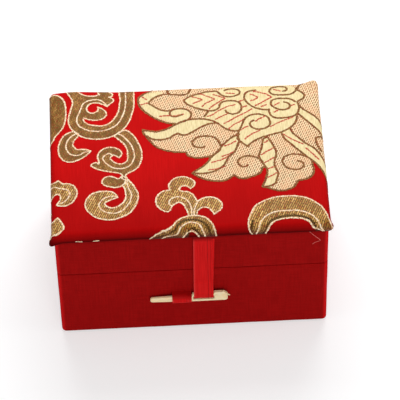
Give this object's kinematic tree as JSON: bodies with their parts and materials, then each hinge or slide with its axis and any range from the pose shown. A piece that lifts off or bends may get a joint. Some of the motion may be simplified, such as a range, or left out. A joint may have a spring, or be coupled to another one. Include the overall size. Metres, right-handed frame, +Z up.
{
  "type": "brocade keepsake box",
  "caption": "Cloth-covered keepsake box with a hinged lid, a padded brocade cover, and a ribbon strap whose toggle passes through a loop on the front.",
  "frame": {"origin": "middle of the box's underside, on the surface that it stands on", "axes": "+X to the right along the front, +Y from the front to the back, +Z up"},
  "size_m": [0.1132, 0.0808, 0.0657],
  "materials": {
    "board": "uncoated greyboard",
    "paper_sheet": "uncoated",
    "red_cloth": "plain woven cloth",
    "lining_satin": "satin",
    "wadding": "soft fibre",
    "brocade": "satin ground with woven figures",
    "red_ribbon": "satin ribbon",
    "toggle_plastic": "ivory-coloured, lightly polished"
  },
  "bodies": {
    "base": {"base_sheet": "paper_sheet", "base_floor": "board", "base_front_wall": "board", "base_back_wall": "board", "base_left_wall": "board", "base_right_wall": "board", "base_cloth": "red_cloth", "base_liner_front": "board", "base_liner_back": "board", "base_liner_left": "board", "base_liner_right": "board", "base_lining": "lining_satin", "base_pad": "lining_satin", "hinge_strip_lower": "red_cloth", "closure_loop": "red_ribbon"},
    "lid": {"lid_front_wall": "board", "lid_back_wall": "board", "lid_left_wall": "board", "lid_right_wall": "board", "lid_deck": "board", "lid_cloth": "red_cloth", "lid_lining": "lining_satin", "lid_pad": "lining_satin", "cover_board": "board", "cover_wadding": "wadding", "cover_brocade": "brocade", "hinge_strip_upper": "red_cloth", "strap_tab": "red_ribbon"},
    "strap": {"strap": "red_ribbon"},
    "strap_end": {"strap_bight": "red_ribbon"},
    "toggle": {"toggle": "toggle_plastic"}
  },
  "joints": [
    {"name": "lid_hinge", "type": "hinge", "parent": "base", "child": "lid", "pos_m": [0, 0.0386, 0.03765], "axis": [-1, 0, 0], "range_deg": [0, 110]},
    {"name": "strap_lift", "type": "hinge", "parent": "lid", "child": "strap", "pos_m": [0.0045, -0.03865, 0.0589], "axis": [-1, 0, 0], "range_deg": [0, 80]},
    {"name": "toggle_slide", "type": "slide", "parent": "strap", "child": "strap_end", "axis": [1, 0, 0], "range_m": [0, 0.0175], "deforming": ["closure_loop"]},
    {"name": "toggle_swing", "type": "hinge", "parent": "strap_end", "child": "toggle", "pos_m": [0.00415, -0.0402, 0.02395], "axis": [-1, 0, 0], "range_deg": [0, 120]}
  ]
}
